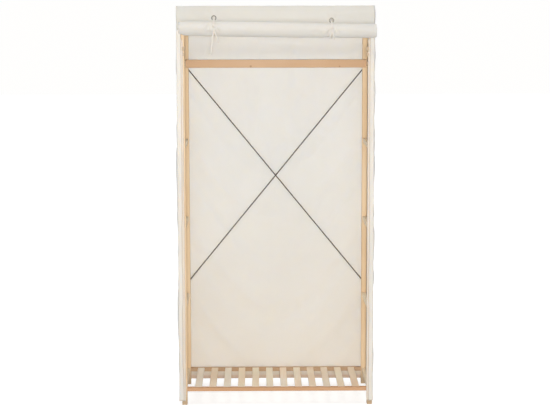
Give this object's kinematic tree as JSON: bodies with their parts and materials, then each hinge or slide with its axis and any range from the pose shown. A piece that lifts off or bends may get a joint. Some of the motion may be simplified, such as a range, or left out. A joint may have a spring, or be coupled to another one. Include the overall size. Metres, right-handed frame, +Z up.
{
  "type": "portable fabric wardrobe",
  "caption": "Pine frame wardrobe with a cloth cover, roll-up front door tied open, hanging rail, slatted shelf, rear cross brace and side zips.",
  "frame": {"origin": "on the floor, at the middle of the base of the whole object's box, the free tails of the ties left out", "axes": "+Z up, the door faces -Y, +X to the right seen from the front"},
  "size_m": [0.8388, 0.4908, 1.6981],
  "materials": {
    "pine_wood": "satin",
    "slat_wood": "satin",
    "cover_cloth": "matte",
    "tie_tape": "matte",
    "zip_tape": "matte",
    "dark_steel": "satin",
    "slider_metal": "satin"
  },
  "bodies": {
    "frame_and_cover": {"post_front_left": "pine_wood", "post_front_right": "pine_wood", "post_rear_left": "pine_wood", "post_rear_right": "pine_wood", "ladder_rung_left_1": "pine_wood", "ladder_rung_left_2": "pine_wood", "ladder_rung_left_3": "pine_wood", "ladder_rung_left_4": "pine_wood", "ladder_rung_left_5": "pine_wood", "ladder_rung_left_6": "pine_wood", "ladder_rung_right_1": "pine_wood", "ladder_rung_right_2": "pine_wood", "ladder_rung_right_3": "pine_wood", "ladder_rung_right_4": "pine_wood", "ladder_rung_right_5": "pine_wood", "ladder_rung_right_6": "pine_wood", "top_rail_front": "pine_wood", "shelf_rail_front": "pine_wood", "top_rail_rear": "pine_wood", "shelf_rail_rear": "pine_wood", "hanging_rail": "pine_wood", "shelf_slat_01": "slat_wood", "shelf_slat_02": "slat_wood", "shelf_slat_03": "slat_wood", "shelf_slat_04": "slat_wood", "shelf_slat_05": "slat_wood", "shelf_slat_06": "slat_wood", "shelf_slat_07": "slat_wood", "shelf_slat_08": "slat_wood", "shelf_slat_09": "slat_wood", "shelf_slat_10": "slat_wood", "shelf_slat_11": "slat_wood", "shelf_slat_12": "slat_wood", "cross_brace_left": "dark_steel", "cross_brace_right": "dark_steel", "brace_screw_top_left": "dark_steel", "brace_screw_bottom_left": "dark_steel", "brace_screw_top_right": "dark_steel", "brace_screw_bottom_right": "dark_steel", "cover_roof": "cover_cloth", "cover_back": "cover_cloth", "cover_side_left": "cover_cloth", "cover_side_right": "cover_cloth", "cover_header": "cover_cloth", "cover_front_strip_left": "cover_cloth", "cover_front_strip_right": "cover_cloth", "door_roll": "cover_cloth", "header_eyelet_left": "dark_steel", "header_eyelet_right": "dark_steel", "door_tie_left": "tie_tape", "door_tie_right": "tie_tape", "door_tie_tails_left": "tie_tape", "door_tie_tails_right": "tie_tape", "door_zip_left": "zip_tape", "door_zip_right": "zip_tape"},
    "slider_left": {"zip_slider_left": "slider_metal"},
    "pull_left": {"zip_pull_left": "slider_metal"},
    "slider_right": {"zip_slider_right": "slider_metal"},
    "pull_right": {"zip_pull_right": "slider_metal"}
  },
  "joints": [
    {"name": "zip_slide_left", "type": "slide", "parent": "frame_and_cover", "child": "slider_left", "axis": [0, 0, -1], "range_m": [0, 1.479]},
    {"name": "pull_swing_left", "type": "hinge", "parent": "slider_left", "child": "pull_left", "pos_m": [-0.38395, -0.18119, 1.5162], "axis": [-1, 0, 0], "range_deg": [0, 165]},
    {"name": "zip_slide_right", "type": "slide", "parent": "frame_and_cover", "child": "slider_right", "axis": [0, 0, -1], "range_m": [0, 1.479]},
    {"name": "pull_swing_right", "type": "hinge", "parent": "slider_right", "child": "pull_right", "pos_m": [0.38395, -0.18119, 1.5162], "axis": [-1, 0, 0], "range_deg": [0, 165]}
  ]
}
